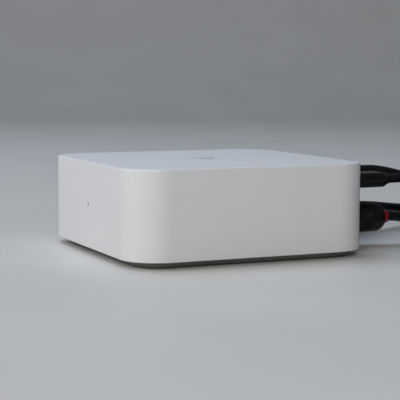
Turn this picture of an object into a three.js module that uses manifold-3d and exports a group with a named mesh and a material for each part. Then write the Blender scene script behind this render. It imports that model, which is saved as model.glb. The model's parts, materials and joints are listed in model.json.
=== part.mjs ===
// A square streaming media player with its power, audio and video leads plugged in.
// Millimetres, +Z up. The origin is the centre of the footprint, on the surface the player stands on.
// The status light is on the front, which faces -Y, and the sockets are in the back, which faces +Y.
import * as THREE from "three";
import { mergeVertices } from "three/addons/utils/BufferGeometryUtils.js";
import Module from "manifold-3d";

const wasm = await Module();
wasm.setup();

// ---------------------------------------------------------------- driving dimensions

const WIDTH = 98;
const HEIGHT = 36;
const CORNER_RADIUS = 14.7;
const WALL = 2.2;
const TOP_THICKNESS = 2.4;
const TOP_EDGE_RADIUS = 0.6;
const HOUSING_BOTTOM = 2.7; // the shadow gap and bevelled base show below this height
const BASE_BOTTOM = 0.4;
const BASE_TOP = 4.2;
const BASE_BEVEL = 2.2;
const GAP = 0.3; // clearance between neighbouring pieces
const FIT = 0.15; // clearance of a plug in its socket, on each side

const FACE = WIDTH / 2; // distance of each side from the centre
const INNER = FACE - WALL;
const CEILING = HEIGHT - TOP_THICKNESS;

const UPPER_ROW = 27.1; // height of the upper sockets' axes
const LOWER_ROW = 11.7; // height of the lower sockets' axes
const PORTS = {
  power: { x: 20, z: UPPER_ROW },
  audio: { x: 20, z: LOWER_ROW },
  hdmi: { x: -20, z: UPPER_ROW },
  ethernet: { x: -20, z: LOWER_ROW },
  reset: { x: 0.5, z: LOWER_ROW },
};

const PANEL = { halfWidth: 33, bottom: 5.3, top: 32.7, recess: 0.6, thickness: 1.6 };
const PANEL_OUTSIDE = FACE - PANEL.recess;
const PANEL_INSIDE = PANEL_OUTSIDE - PANEL.thickness;

const BOARD = { bottom: 4.8, thickness: 1.2, half: 43 };
const BOARD_TOP = BOARD.bottom + BOARD.thickness;
const IO_BOARD = { bottom: 22.0, thickness: 1.4, front: 22, back: 45.5, halfWidth: 34 };
const IO_TOP = IO_BOARD.bottom + IO_BOARD.thickness;

const FRONT_BOARD_Y = -43.2; // the back of the small upright board behind the front wall

const POST = { at: 38, radius: 3 }; // screw posts in the housing's corners
const BOARD_POST = { x: 39, y: 20, radius: 2.6 }; // short posts that carry the main board
const IO_POST = { x: 31, y: 27, radius: 2.2 }; // tall posts that carry the upper board
const SCREW = { headRadius: 2.2, shankRadius: 1.2, seat: 2.4 };

const FOOT = { outer: 6.5, inner: 12.5, top: 0.9 }; // the rubber ring's insets from the sides
const INTAKE_SLOTS = [-16, -12, -8, -4, 0, 4, 8, 12, 16]; // in the base, below the fan
const VENTS = [-6.4, -3.2, 0, 3.2]; // exhaust slots for the fan, in the rear panel
const LIGHT = { z: 19.8, radius: 0.75 }; // the status light's hole, in the middle of the front
const EMBLEM_SIZE = { radius: 8, depth: 0.5, corner: 1.4 }; // in the middle of the top

const FAN = { x: 0, y: -14, bottom: 21, height: 9, half: 24, rotorRadius: 17, blades: 11 };
const PROCESSOR = { half: 8, height: 1.6 }; // below the fan's centre

const USB_C = { shellWidth: 8.3, shellHeight: 2.4, reach: 6.4 };
const HDMI = { shellWidth: 13.9, shellHeight: 4.4, reach: 9.5 };
const ETHERNET = { width: 11.9, height: 7.9, depth: 13, contactPitch: 1.02 };
const RCA = {
  barrelRadius: 4.1,
  barrelWall: 0.5,
  wellRadius: 5.0,
  wellBottom: 39.5,
  pinRadius: 1.55,
};
const RESET = { radius: 1.7, proud: 0.2, travel: 0.5, length: 1.4 };

// ---------------------------------------------------------------- materials

const finish = (color, roughness, metalness = 0) =>
  new THREE.MeshStandardMaterial({ color, roughness, metalness });
const WHITE_PLASTIC = finish(0xe9eaec, 0.42);
const BASE_PLASTIC = finish(0x55565a, 0.5);
const RUBBER = finish(0x2a2a2c, 0.85);
const BLACK_PLASTIC = finish(0x17181a, 0.45);
const CABLE_JACKET = finish(0x141517, 0.5);
const RED_PLASTIC = finish(0xc01420, 0.4);
const EMBLEM = finish(0xc3c9d2, 0.25);
const LIGHT_PIPE = finish(0x9a9da3, 0.3);
const CLEAR_PLASTIC = finish(0xb9bdc1, 0.2);
const BOARD_GREEN = finish(0x1d4a33, 0.55);
const CHIP = finish(0x202124, 0.5);
const STEEL = finish(0xb9bcc0, 0.3, 1);
const ALUMINIUM = finish(0xa7aaad, 0.45, 1);
const GOLD = finish(0xd9b35a, 0.3, 1);

// ---------------------------------------------------------------- solids

// A closed geometry as a manifold-3d solid, with its faces turned outwards.
function solid(geometry) {
  const loose = geometry.index ? geometry.toNonIndexed() : geometry.clone();
  loose.deleteAttribute("normal");
  loose.deleteAttribute("uv");
  const merged = mergeVertices(loose, 1e-4);
  const triVerts = new Uint32Array(merged.index.array);
  const vertProperties = merged.attributes.position.array;
  const made = new wasm.Manifold(new wasm.Mesh({ numProp: 3, vertProperties, triVerts }));
  if (made.volume() > 0) return made;
  triVerts.reverse();
  return new wasm.Manifold(new wasm.Mesh({ numProp: 3, vertProperties, triVerts }));
}

function geometryOf(body) {
  const { numProp, vertProperties, triVerts } = body.getMesh();
  const position = new Float32Array((vertProperties.length / numProp) * 3);
  for (let i = 0; i * 3 < position.length; i++) {
    position.set(vertProperties.subarray(i * numProp, i * numProp + 3), i * 3);
  }
  const geometry = new THREE.BufferGeometry();
  geometry.setAttribute("position", new THREE.BufferAttribute(position, 3));
  geometry.setIndex(new THREE.BufferAttribute(new Uint32Array(triVerts), 1));
  return geometry.toNonIndexed();
}

const cut = (body, ...tools) => tools.reduce((rest, tool) => rest.subtract(tool), body);
const join = (body, ...others) => others.reduce((sum, other) => sum.add(other), body);

// A box between two corners.
function block([x0, y0, z0], [x1, y1, z1]) {
  const geometry = new THREE.BoxGeometry(x1 - x0, y1 - y0, z1 - z0);
  return solid(geometry.translate((x0 + x1) / 2, (y0 + y1) / 2, (z0 + z1) / 2));
}

// A box along Y, centred on (x, z), from y0 to y1.
const bar = (width, height, { x, z }, y0, y1) =>
  block([x - width / 2, y0, z - height / 2], [x + width / 2, y1, z + height / 2]);

function rodY(radius, { x, z }, y0, y1, sides = 16) {
  const geometry = new THREE.CylinderGeometry(radius, radius, y1 - y0, sides);
  return solid(geometry.translate(x, (y0 + y1) / 2, z));
}

function rodZ(radius, [x, y], z0, z1, sides = 12) {
  const geometry = new THREE.CylinderGeometry(radius, radius, z1 - z0, sides);
  return solid(geometry.rotateX(Math.PI / 2).translate(x, y, (z0 + z1) / 2));
}

// A rectangle with round corners, centred on the origin of its plane.
function roundedRectangle(width, height, radius) {
  const x = width / 2 - radius;
  const y = height / 2 - radius;
  const shape = new THREE.Shape();
  shape.absarc(x, y, radius, 0, Math.PI / 2);
  shape.absarc(-x, y, radius, Math.PI / 2, Math.PI);
  shape.absarc(-x, -y, radius, Math.PI, Math.PI * 1.5);
  shape.absarc(x, -y, radius, Math.PI * 1.5, Math.PI * 2);
  shape.closePath();
  return shape;
}

// The shape drawn out to a length along Z, its edges at both ends drawn in by edge.
function drawnOut(shape, length, { size, height = size, segments }, curveSegments) {
  const geometry = new THREE.ExtrudeGeometry(shape, {
    depth: length - 2 * height,
    curveSegments,
    bevelEnabled: size > 0,
    bevelThickness: height,
    bevelSize: size,
    bevelOffset: -size,
    bevelSegments: segments,
  });
  return geometry.translate(0, 0, height);
}

const standing = (shape, z0, z1, edge = { size: 0 }, curveSegments = 3) =>
  solid(drawnOut(shape, z1 - z0, { segments: 2, ...edge }, curveSegments).translate(0, 0, z0));

// The same along Y: the shape's own Y becomes Z, and its centre lies on (x, z).
function lying(shape, { x, z }, y0, y1, edge = { size: 0 }, curveSegments = 2) {
  const geometry = drawnOut(shape, y1 - y0, { segments: 1, ...edge }, curveSegments);
  return solid(geometry.rotateX(Math.PI / 2).translate(x, y1, z));
}

// A profile of [radius, y] points turned round the axis that runs along Y through (x, z).
function turnedY(profile, { x, z }, sides = 16) {
  const points = profile.map(([radius, y]) => new THREE.Vector2(radius, y));
  return solid(new THREE.LatheGeometry(points, sides).translate(x, 0, z));
}

const nodes = new Map();
function part(name, material, body) {
  const mesh = new THREE.Mesh(geometryOf(body), material);
  mesh.name = name;
  nodes.set(name, mesh);
  return mesh;
}

// ---------------------------------------------------------------- casing

const footprint = (inset) =>
  roundedRectangle(WIDTH - 2 * inset, WIDTH - 2 * inset, CORNER_RADIUS - inset);

// The signs of X and Y in each corner.
const corners = [
  [1, 1],
  [-1, 1],
  [-1, -1],
  [1, -1],
];

// A triangle with round corners that points along +X: the mark that means play.
function playTriangle(radius, corner) {
  const shape = new THREE.Shape();
  for (let i = 0; i < 3; i++) {
    const towards = (i * 2 * Math.PI) / 3;
    const reach = radius - 2 * corner;
    const [x, y] = [reach * Math.cos(towards), reach * Math.sin(towards)];
    shape.absarc(x, y, corner, towards - Math.PI / 3, towards + Math.PI / 3);
  }
  shape.closePath();
  return shape;
}

function housing() {
  const edge = { size: TOP_EDGE_RADIUS };
  const outside = standing(footprint(0), 0, HEIGHT, edge, 6);
  const cavity = standing(footprint(WALL), -1, CEILING);
  const belowEdge = block([-FACE, -FACE, -1], [FACE, FACE, HOUSING_BOTTOM]);
  const { halfWidth, bottom, top } = PANEL;
  const rearWindow = block(
    [-halfWidth - GAP, INNER - 1, bottom - GAP],
    [halfWidth + GAP, FACE + 1, top + GAP],
  );
  const lightHole = rodY(LIGHT.radius, { x: 0, z: LIGHT.z }, -FACE - 1, -INNER + 1);
  const recessShape = playTriangle(EMBLEM_SIZE.radius + FIT, EMBLEM_SIZE.corner);
  const emblemRecess = standing(recessShape, HEIGHT - EMBLEM_SIZE.depth, HEIGHT + 1);
  const posts = corners.map(([sx, sy]) => {
    const at = [sx * POST.at, sy * POST.at];
    const screwHole = rodZ(1.6, at, BASE_TOP, BASE_TOP + 8, 8);
    return cut(rodZ(POST.radius, at, BASE_TOP + GAP, CEILING + 0.5), screwHole);
  });
  return join(cut(outside, cavity, belowEdge, rearWindow, lightHole, emblemRecess), ...posts);
}

function basePlate() {
  const outline = footprint(WALL + GAP);
  const edge = { size: BASE_BEVEL, height: HOUSING_BOTTOM - BASE_BOTTOM, segments: 1 };
  const bevelled = standing(outline, BASE_BOTTOM, BASE_TOP + 5, edge);
  const above = block([-FACE, -FACE, BASE_TOP], [FACE, FACE, HEIGHT]);
  const footGroove = cut(
    standing(footprint(FOOT.outer - GAP), -1, FOOT.top + GAP),
    standing(footprint(FOOT.inner + GAP), -2, FOOT.top + 1),
  );
  const counterbores = corners.flatMap(([sx, sy]) => {
    const at = [sx * POST.at, sy * POST.at];
    return [
      rodZ(SCREW.headRadius + GAP, at, 0, SCREW.seat),
      rodZ(SCREW.shankRadius + GAP, at, 0, BASE_TOP + 1, 8),
    ];
  });
  const shortPosts = corners.map(([sx, sy]) => {
    const at = [sx * BOARD_POST.x, sy * BOARD_POST.y];
    const post = rodZ(BOARD_POST.radius, at, BASE_TOP - 1, BOARD.bottom - GAP);
    return cut(post, rodZ(1.3, at, BASE_TOP - 1.5, BOARD.bottom + 1, 8));
  });
  const tallPosts = [1, -1].map((side) =>
    rodZ(IO_POST.radius, [side * IO_POST.x, IO_POST.y], BASE_TOP - 1, IO_BOARD.bottom - GAP),
  );
  const intake = INTAKE_SLOTS.map((x) => block([x - 1, -30, 0], [x + 1, -8, BASE_TOP + 1]));
  const plate = cut(bevelled, above, footGroove, ...counterbores, ...intake);
  return join(plate, ...shortPosts, ...tallPosts);
}

function rubberFoot() {
  const ring = standing(footprint(FOOT.outer), 0, FOOT.top);
  return cut(ring, standing(footprint(FOOT.inner), -1, FOOT.top + 1));
}

function baseScrew([sx, sy]) {
  const at = [sx * POST.at, sy * POST.at];
  const headTop = SCREW.seat - GAP;
  const head = rodZ(SCREW.headRadius, at, headTop - 0.8, headTop);
  const shank = rodZ(SCREW.shankRadius, at, headTop - 0.4, BASE_TOP + 6.5, 8);
  const driveSlot = rodZ(0.8, at, headTop - 1, headTop - 0.3, 6);
  return cut(join(head, shank), driveSlot);
}

function rearPanel() {
  const { halfWidth, bottom, top } = PANEL;
  const middle = { x: 0, z: (bottom + top) / 2 };
  const shape = roundedRectangle(2 * halfWidth, top - bottom, 1.2);
  const sheet = lying(shape, middle, PANEL_INSIDE, PANEL_OUTSIDE);
  const through = [PANEL_INSIDE - 1, PANEL_OUTSIDE + 1];
  const openings = [
    lying(roundedRectangle(10.2, 4.2, 1.9), PORTS.power, ...through),
    lying(roundedRectangle(16.0, 6.6, 0.8), PORTS.hdmi, ...through),
    rodY(RCA.wellRadius + 0.8, PORTS.audio, ...through, 20),
    bar(13.6, 9.6, PORTS.ethernet, ...through),
    rodY(2.1, PORTS.reset, ...through),
    ...VENTS.map((x) => bar(1.6, 10, { x, z: UPPER_ROW }, ...through)),
  ];
  return cut(sheet, ...openings);
}

// ---------------------------------------------------------------- electronics

function mainBoard() {
  const shape = roundedRectangle(2 * BOARD.half, 2 * BOARD.half, 6);
  const sheet = standing(shape, BOARD.bottom, BOARD_TOP, { size: 0 }, 4);
  const cornerNotches = corners.map(([sx, sy]) =>
    rodZ(POST.radius + 0.8, [sx * POST.at, sy * POST.at], BOARD.bottom - 1, BOARD_TOP + 1),
  );
  const screwHoles = corners.map(([sx, sy]) =>
    rodZ(1.5, [sx * BOARD_POST.x, sy * BOARD_POST.y], BOARD.bottom - 1, BOARD_TOP + 1, 8),
  );
  const postHoles = [1, -1].map((side) => {
    const at = [side * IO_POST.x, IO_POST.y];
    return rodZ(IO_POST.radius + GAP, at, BOARD.bottom - 1, BOARD_TOP + 1);
  });
  return cut(sheet, ...cornerNotches, ...screwHoles, ...postHoles);
}

function boardScrew([sx, sy]) {
  const at = [sx * BOARD_POST.x, sy * BOARD_POST.y];
  const head = rodZ(2.2, at, BOARD_TOP + GAP / 2, BOARD_TOP + 1.2);
  return join(head, rodZ(1.0, at, BASE_TOP + 0.4, BOARD_TOP + 1, 8));
}

const ioBoard = () =>
  block(
    [-IO_BOARD.halfWidth, IO_BOARD.front, IO_BOARD.bottom],
    [IO_BOARD.halfWidth, IO_BOARD.back, IO_TOP],
  );

const processor = () =>
  block(
    [FAN.x - PROCESSOR.half, FAN.y - PROCESSOR.half, BOARD_TOP + GAP / 2],
    [FAN.x + PROCESSOR.half, FAN.y + PROCESSOR.half, BOARD_TOP + PROCESSOR.height],
  );

function wifiModule() {
  const card = block([-38, -12, BOARD_TOP + GAP / 2], [-24, 10, BOARD_TOP + 1]);
  return join(card, block([-37, -8, BOARD_TOP + 0.8], [-25, 6, BOARD_TOP + 2.6]));
}

// A printed antenna that stands against the left wall.
const antenna = () => block([0.5 - INNER, -12, 12], [1.3 - INNER, 14, 19]);

// A plate over the processor with straight fins that run from front to back.
function heatSink() {
  const bottom = BOARD_TOP + PROCESSOR.height + GAP / 2;
  const [x0, x1] = [FAN.x - 20, FAN.x + 20];
  const [y0, y1] = [FAN.y - 20, FAN.y + 20];
  const plate = block([x0, y0, bottom], [x1, y1, bottom + 2]);
  const fins = [];
  for (let x = x0; x < x1; x += 4.75) {
    fins.push(block([x, y0, bottom + 1], [x + 1.2, y1, FAN.bottom - GAP]));
  }
  return join(plate, ...fins);
}

function fanHousing() {
  const { x, y, bottom, height, half, rotorRadius } = FAN;
  const shape = roundedRectangle(2 * half, 2 * half, 7);
  const shell = standing(shape, bottom, bottom + height).translate([x, y, 0]);
  const chamber = rodZ(rotorRadius + 3, [x, y], bottom + 1.2, bottom + height + 1, 28);
  const outlet = block(
    [x - rotorRadius, y, bottom + 1.2],
    [x + rotorRadius - 6, y + half + 1, bottom + height + 1],
  );
  const ring = cut(
    rodZ(11, [x, y], bottom - 1, bottom + 2, 20),
    rodZ(6, [x, y], bottom - 2, bottom + 3),
  );
  const spokes = [0, 1, 2].map((i) =>
    block([-1.2, -12, bottom], [1.2, 0, bottom + 1.2])
      .rotate([0, 0, i * 120])
      .translate([x, y, 0]),
  );
  const motorPost = rodZ(1.4, [x, y], bottom + 0.5, bottom + height - 2.5);
  return join(cut(shell, chamber, outlet, ring), ...spokes, motorPost);
}

function fanRotor() {
  const { x, y, bottom, height, rotorRadius, blades } = FAN;
  const [low, high] = [bottom + 1.2 + 2 * GAP, bottom + height - 0.8];
  const hub = cut(rodZ(6.4, [0, 0], low, high, 20), rodZ(1.4 + GAP, [0, 0], low - 1, high - 1.2));
  const made = [];
  for (let i = 0; i < blades; i++) {
    const blade = block([5.6, -0.4, low], [rotorRadius, 0.4, high]);
    const leaned = blade.translate([0, 1.6, 0]).rotate([0, 0, (i * 360) / blades]);
    made.push(leaned);
  }
  return join(hub, ...made).translate([x, y, 0]);
}

const frontBoard = () =>
  block([-9, FRONT_BOARD_Y, BOARD_TOP + GAP], [9, FRONT_BOARD_Y + 1.2, 26]);

const statusLed = () => bar(1.6, 1.2, { x: 0, z: LIGHT.z }, FRONT_BOARD_Y - 1, FRONT_BOARD_Y - FIT);

function irReceiver() {
  const body = block([3, FRONT_BOARD_Y - 1.4, 17.5], [7.4, FRONT_BOARD_Y - FIT, 22.3]);
  return join(body, rodY(1.7, { x: 5.2, z: 20 }, FRONT_BOARD_Y - 2.4, FRONT_BOARD_Y - 1));
}

// The clear pin that carries the light to the front, with a collar behind the wall.
function lightPipe() {
  const at = { x: 0, z: LIGHT.z };
  const pin = rodY(LIGHT.radius - 0.05, at, -FACE + 0.1, -INNER + 1);
  return join(pin, rodY(1.3, at, -INNER + FIT, FRONT_BOARD_Y - 1.2));
}

// ---------------------------------------------------------------- sockets

function powerSocket() {
  const { x, z } = PORTS.power;
  const outer = roundedRectangle(9.5, 3.6, 1.8);
  const inner = roundedRectangle(USB_C.shellWidth + 2 * FIT, USB_C.shellHeight + 2 * FIT, 1.3);
  const mouth = PANEL_OUTSIDE - 0.3;
  const back = mouth - 8;
  const shell = cut(
    lying(outer, PORTS.power, back, mouth),
    lying(inner, PORTS.power, back + 0.9, mouth + 1),
  );
  const tongue = bar(6.0, 0.6, PORTS.power, back + 0.5, mouth - 1.5);
  const pedestal = block([x - 4, back + 1, IO_TOP + GAP / 2], [x + 4, back + 5, z - 1.6]);
  return join(shell, tongue, pedestal);
}

// The outline of a video plug's shell: a flat box with its two lower corners cut off.
function videoOutline(width, height) {
  const [x, y] = [width / 2, height / 2];
  const [side, rise] = [1.7, 1.6];
  const shape = new THREE.Shape();
  shape.moveTo(x, y);
  shape.lineTo(-x, y);
  shape.lineTo(-x, -y + rise);
  shape.lineTo(-x + side, -y);
  shape.lineTo(x - side, -y);
  shape.lineTo(x, -y + rise);
  shape.closePath();
  return shape;
}

function hdmiSocket() {
  const mouth = PANEL_OUTSIDE - 0.3;
  const back = mouth - 11.5;
  const inner = videoOutline(HDMI.shellWidth + 2 * FIT, HDMI.shellHeight + 2 * FIT);
  const shell = cut(
    bar(15.2, 5.8, PORTS.hdmi, back, mouth),
    lying(inner, PORTS.hdmi, back + 1, mouth + 1),
  );
  return join(shell, bar(11.6, 1.1, PORTS.hdmi, back + 0.5, mouth - 2));
}

// A flush jack: its barrel stands in a round well, and the plug's ground ring slides over it.
function audioJackBody() {
  const { x, z } = PORTS.audio;
  const { barrelRadius, barrelWall, pinRadius, wellRadius, wellBottom } = RCA;
  const nose = rodY(wellRadius + 0.8 - GAP, PORTS.audio, PANEL_INSIDE - 1, PANEL_OUTSIDE - 0.1, 20);
  const base = block([x - 6.4, 34, BOARD_TOP + GAP / 2], [x + 6.4, PANEL_INSIDE - GAP, z + 6.6]);
  const well = rodY(wellRadius, PORTS.audio, wellBottom, FACE + 1, 20);
  const core = rodY(barrelRadius - barrelWall - FIT, PORTS.audio, wellBottom - 1, PANEL_OUTSIDE - 1.2);
  const pinHole = rodY(pinRadius + 0.25, PORTS.audio, 36, FACE + 1, 12);
  return cut(join(cut(join(base, nose), well), core), pinHole);
}

function audioJackBarrel() {
  const { barrelRadius, barrelWall, wellBottom } = RCA;
  const [front, mouth] = [wellBottom + FIT, PANEL_OUTSIDE - 0.4];
  const outside = rodY(barrelRadius, PORTS.audio, front, mouth, 20);
  return cut(outside, rodY(barrelRadius - barrelWall, PORTS.audio, front - 1, mouth + 1, 20));
}

function ethernetSocket() {
  const { x, z } = PORTS.ethernet;
  const mouth = PANEL_OUTSIDE - 0.2;
  const body = block([x - 7.9, mouth - 18, BOARD_TOP + GAP / 2], [x + 7.9, PANEL_INSIDE - GAP, 20.4]);
  const nose = bar(13, 9, PORTS.ethernet, PANEL_INSIDE - 1, mouth);
  const cavity = bar(ETHERNET.width, ETHERNET.height, PORTS.ethernet, mouth - ETHERNET.depth, mouth + 1);
  const latchSlot = bar(4.2, 2, { x, z: z - ETHERNET.height / 2 - 0.2 }, mouth - 7, mouth + 1);
  const contacts = [];
  for (let i = 0; i < 8; i++) {
    const across = x + (i - 3.5) * ETHERNET.contactPitch;
    const contact = block(
      [across - 0.2, mouth - ETHERNET.depth - 0.5, z + 2.6],
      [across + 0.2, mouth - 2, z + 3.2],
    );
    const stem = block(
      [across - 0.2, mouth - 3, z + 3],
      [across + 0.2, mouth - 2, z + ETHERNET.height / 2 + 0.2],
    );
    contacts.push(contact, stem);
  }
  return join(cut(join(body, nose), cavity, latchSlot), ...contacts);
}

// The button's collar holds it behind the panel.
function resetButton() {
  const front = PANEL_INSIDE - RESET.length;
  const cap = rodY(RESET.radius, PORTS.reset, front, PANEL_OUTSIDE + RESET.proud);
  const collar = rodY(2.6, PORTS.reset, front, PANEL_INSIDE - GAP);
  return join(cap, collar);
}

function resetSwitch() {
  const { x, z } = PORTS.reset;
  const face = PANEL_INSIDE - RESET.length - RESET.travel - GAP;
  return block([x - 3, face - 4, BOARD_TOP + GAP / 2], [x + 3, face, z + 3]);
}

// ---------------------------------------------------------------- plugs
// Each plug points along -Y, and its cord leaves it at the origin towards +Y.

const ORIGIN = { x: 0, z: 0 };

function powerPlug() {
  const [front, back] = [-24.1, -2.6];
  const outline = roundedRectangle(12, 6, 2.9);
  const chamfered = lying(outline, ORIGIN, front, back, { size: 1.4, height: 2 }, 3);
  const neck = turnedY([[0, back - 2], [2.6, back - 2], [2.6, back], [2.1, 0], [0, 0]], ORIGIN, 12);
  const { shellWidth, shellHeight, reach } = USB_C;
  const pocketShape = roundedRectangle(shellWidth + 2 * FIT, shellHeight + 2 * FIT, 1.35);
  const pocket = lying(pocketShape, ORIGIN, front - 1, front + 2.2);
  const shellShape = roundedRectangle(shellWidth, shellHeight, 1.2);
  const hollowShape = roundedRectangle(shellWidth - 0.6, shellHeight - 0.6, 0.9);
  const shell = cut(
    lying(shellShape, ORIGIN, front - reach, front + 2),
    lying(hollowShape, ORIGIN, front - reach - 1, front + 0.5),
  );
  return { body: [CABLE_JACKET, cut(join(chamfered, neck), pocket)], shell: [STEEL, shell] };
}

// The wide plug on the far end of the power lead.
function supplyPlug() {
  const boot = turnedY([[0, -8], [3.3, -8], [3.3, -6], [2.2, 0], [0, 0]], ORIGIN, 12);
  const [front, back] = [-29, -6.5];
  const outline = roundedRectangle(15.4, 7.8, 1.6);
  const body = lying(outline, ORIGIN, front, back, { size: 0.8 });
  const pocket = bar(12.6, 5.1, ORIGIN, front - 1, front + 2.3);
  const shell = cut(
    bar(12, 4.5, ORIGIN, front - 11.7, front + 2),
    bar(11.3, 1.9, { x: 0, z: 0.95 }, front - 13, front + 0.5),
  );
  return { body: [CABLE_JACKET, cut(join(boot, body), pocket)], shell: [STEEL, shell] };
}

// A phono plug: a sleeve with a chamfered back, the pin, and the ring that says which channel.
function audioPlug() {
  const { barrelRadius, wellRadius, wellBottom, pinRadius } = RCA;
  const front = -24.1;
  const groundReach = FACE - wellBottom - 0.4;
  const sleeve = turnedY(
    [
      [0, front + 4],
      [barrelRadius + FIT, front + 4],
      [barrelRadius + FIT, front - groundReach],
      [wellRadius - GAP, front - groundReach],
      [wellRadius - GAP, front],
      [6, front],
      [6, -6],
      [4.3, -3.6],
      [0, -3.6],
    ],
    ORIGIN,
    20,
  );
  const pocket = rodY(pinRadius + FIT, ORIGIN, front + 3, front + 8.2, 12);
  const tip = front - groundReach - 3.2;
  const pin = turnedY(
    [[0, tip], [pinRadius - 0.6, tip], [pinRadius, tip + 1], [pinRadius, front + 8], [0, front + 8]],
    ORIGIN,
    12,
  );
  const colour = turnedY([[0, -3.3], [2.6, -3.3], [2.6, -0.9], [2.2, 0], [0, 0]], ORIGIN, 16);
  return {
    sleeve: [BLACK_PLASTIC, cut(sleeve, pocket)],
    pin: [GOLD, pin],
    colour_ring: [RED_PLASTIC, colour],
  };
}

function hdmiPlug() {
  const boot = turnedY([[0, -8], [4.2, -8], [4.2, -6], [2.9, 0], [0, 0]], ORIGIN, 12);
  const [front, back] = [-35, -6.4];
  const body = lying(roundedRectangle(20, 10.4, 2), ORIGIN, front, back, { size: 1 });
  const pocketShape = videoOutline(HDMI.shellWidth + 2 * FIT, HDMI.shellHeight + 2 * FIT);
  const pocket = lying(pocketShape, ORIGIN, front - 1, front + 2.2);
  const shell = cut(
    lying(videoOutline(HDMI.shellWidth, HDMI.shellHeight), ORIGIN, front - HDMI.reach, front + 2),
    bar(12.2, 1.9, ORIGIN, front - HDMI.reach - 1, front + 0.5),
  );
  return { body: [CABLE_JACKET, cut(join(boot, body), pocket)], shell: [STEEL, shell] };
}

function ethernetPlug() {
  const relief = turnedY([[0, -9], [3.3, -9], [3.3, -7], [2.4, 0], [0, 0]], ORIGIN, 12);
  const [front, back] = [-19.7, -7.5];
  const boot = lying(roundedRectangle(12.4, 9.2, 1.5), ORIGIN, front, back, { size: 0.8 });
  const pocket = bar(11.4, 7.6, ORIGIN, front - 1, front + 2.3);
  const nose = bar(11.1, 7.3, ORIGIN, front - 11.8, front + 2);
  const contactSlots = [];
  for (let i = 0; i < 8; i++) {
    const across = (i - 3.5) * ETHERNET.contactPitch;
    const [low, high] = [[across - 0.35, front - 13, 2.2], [across + 0.35, front - 1, 5]];
    contactSlots.push(block(low, high));
  }
  return {
    boot: [CABLE_JACKET, cut(join(relief, boot), pocket)],
    nose: [CLEAR_PLASTIC, cut(nose, ...contactSlots)],
  };
}

// ---------------------------------------------------------------- leads

const FLOOR = 0.05; // the least height of any lead above the surface

// A tube of the cord's diameter along a smooth curve through points.
function cordTube(points, diameter) {
  const through = points.map((point) => new THREE.Vector3(...point));
  const curve = new THREE.CatmullRomCurve3(through, false, "centripetal");
  const section = new THREE.Shape();
  section.absarc(0, 0, diameter / 2, 0, Math.PI * 2);
  section.closePath();
  const steps = Math.max(4, Math.round(curve.getLength() / (2 * diameter)));
  return solid(new THREE.ExtrudeGeometry(section, { extrudePath: curve, steps, curveSegments: 4 }));
}

// The ring that a coil of two columns of turns fills, lying on the surface, grown all round by grow.
function coilRing({ diameter, centre, coilRadius, layers }, grow = 0) {
  const half = diameter + grow;
  const [low, high] = [FLOOR - grow, FLOOR + layers * diameter + grow];
  const profile = [
    new THREE.Vector2(coilRadius - half, low),
    new THREE.Vector2(coilRadius + half, low),
    new THREE.Vector2(coilRadius + half, high),
    new THREE.Vector2(coilRadius - half, high),
    new THREE.Vector2(coilRadius - half, low),
  ];
  const geometry = new THREE.LatheGeometry(profile, 28).rotateX(Math.PI / 2);
  return solid(geometry.translate(centre[0], centre[1], 0));
}

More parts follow.
